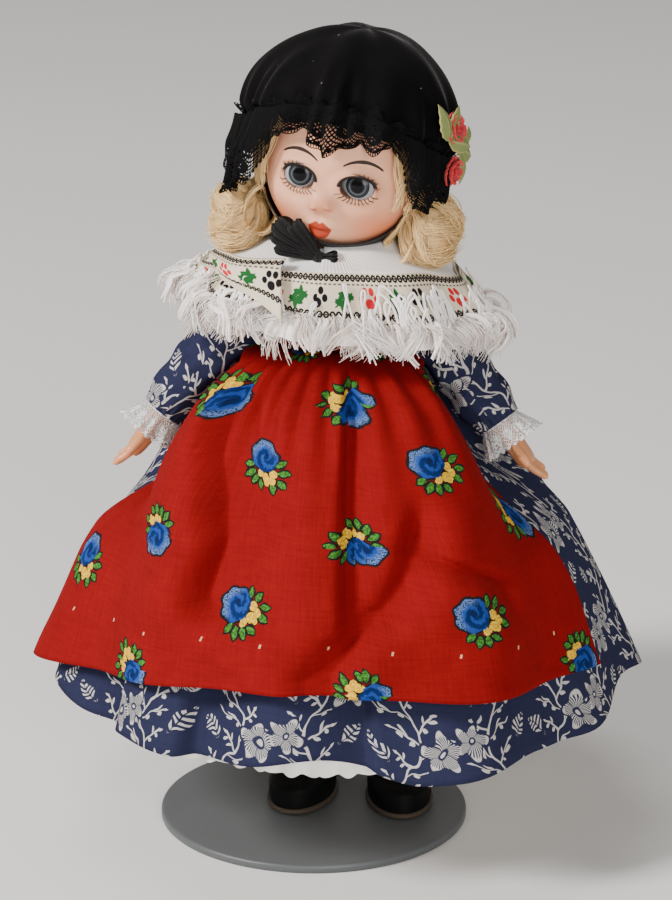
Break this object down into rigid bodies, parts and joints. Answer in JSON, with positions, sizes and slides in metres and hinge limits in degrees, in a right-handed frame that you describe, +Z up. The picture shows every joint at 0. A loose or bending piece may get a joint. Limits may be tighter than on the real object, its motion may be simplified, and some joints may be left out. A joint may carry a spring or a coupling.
{
  "type": "costume doll on stand",
  "caption": "Jointed child doll with sleep eyes in a printed dress, apron, fringed shawl and gathered cap, held by a waist clip on a round stand.",
  "frame": {"origin": "on the underside of the round base, below the middle of the doll's hips", "axes": "+Z up, the doll faces -Y, +X is the doll's left"},
  "size_m": [0.1613, 0.1591, 0.2121],
  "materials": {
    "grey_paint": "satin grey paint",
    "steel": "bright wire",
    "skin": "painted skin tone",
    "eye": "glossy",
    "brass": "plain",
    "weight": "plain",
    "elastic": "covered elastic",
    "hair": "blond curls",
    "black": "velvet, lace and cord",
    "red_cloth": "cloth petals",
    "leaf": "cloth leaves",
    "indigo": "printed cotton",
    "white_lace": "lace",
    "apron_red": "printed cotton",
    "white_cotton": "ribbed cotton and fringe",
    "braid": "woven braid",
    "shoe": "smooth black",
    "sole": "tan card",
    "stocking": "knit"
  },
  "bodies": {
    "stand": {"stand_base": "grey_paint", "stand_post": "steel"},
    "doll": {"waist_clip": "steel", "torso": "skin", "arm_elastic": "elastic", "leg_elastic": "elastic", "dress_bodice": "indigo", "dress_skirt": "indigo", "apron": "apron_red", "apron_waistband": "apron_red", "apron_bow": "apron_red", "petticoat": "white_cotton", "petticoat_lace": "white_lace", "left_shawl": "white_cotton", "left_braid": "braid", "left_fringe": "white_cotton", "right_shawl": "white_cotton", "right_braid": "braid", "right_fringe": "white_cotton", "shawl_end": "braid"},
    "neck": {"neck_hook": "steel"},
    "head": {"head": "skin", "wig_cap": "hair", "velvet_cap": "black", "cap_lace": "black", "left_curls": "hair", "right_curls": "hair", "back_curls": "hair", "chin_tie": "black", "chin_bow": "black", "upper_flower": "red_cloth", "lower_flower": "red_cloth", "upper_leaf": "leaf", "lower_leaf": "leaf"},
    "eyes": {"left_eye": "eye", "right_eye": "eye", "eye_rocker": "brass", "eye_weight": "weight"},
    "left_arm": {"left_arm": "skin", "left_arm_ferrule": "steel", "left_sleeve": "indigo", "left_cuff_lace": "white_lace"},
    "right_arm": {"right_arm": "skin", "right_arm_ferrule": "steel", "right_sleeve": "indigo", "right_cuff_lace": "white_lace"},
    "left_leg": {"left_leg": "skin", "left_leg_ferrule": "steel", "left_stocking": "stocking", "left_shoe": "shoe", "left_sole": "sole"},
    "right_leg": {"right_leg": "skin", "right_leg_ferrule": "steel", "right_stocking": "stocking", "right_shoe": "shoe", "right_sole": "sole"}
  },
  "joints": [
    {"name": "stand_height", "type": "slide", "parent": "stand", "child": "doll", "axis": [0, 0, 1], "range_m": [0, 0.02]},
    {"name": "head_tilt", "type": "hinge", "parent": "doll", "child": "neck", "pos_m": [-0.00238, 0, 0.1517], "axis": [0, 1, 0], "range_deg": [-14, 3], "deforming": ["left_curls", "right_curls", "back_curls", "chin_bow"]},
    {"name": "head_turn", "type": "hinge", "parent": "neck", "child": "head", "pos_m": [-0.00238, 0, 0.1517], "axis": [0.1564, 0, 0.9877], "range_deg": [-40, 40], "deforming": ["left_curls", "right_curls", "back_curls", "chin_bow"]},
    {"name": "eyes_close", "type": "hinge", "parent": "head", "child": "eyes", "pos_m": [-0.00041, -0.01468, 0.1764], "axis": [0.9794, -0.1296, -0.155], "range_deg": [0, 52]},
    {"name": "left_shoulder", "type": "hinge", "parent": "doll", "child": "left_arm", "pos_m": [0.01784, 0, 0.1412], "axis": [-1, 0, 0], "range_deg": [-3, 75], "deforming": ["left_shawl", "left_braid", "left_fringe"]},
    {"name": "right_shoulder", "type": "hinge", "parent": "doll", "child": "right_arm", "pos_m": [-0.02176, 0, 0.1412], "axis": [-1, 0, 0], "range_deg": [-3, 75], "deforming": ["right_shawl", "right_braid", "right_fringe", "shawl_end"]},
    {"name": "left_hip", "type": "hinge", "parent": "doll", "child": "left_leg", "pos_m": [0.01055, 0, 0.0922], "axis": [-1, 0, 0], "range_deg": [0, 25]},
    {"name": "right_hip", "type": "hinge", "parent": "doll", "child": "right_leg", "pos_m": [-0.01055, 0, 0.0922], "axis": [-1, 0, 0], "range_deg": [0, 25]}
  ]
}
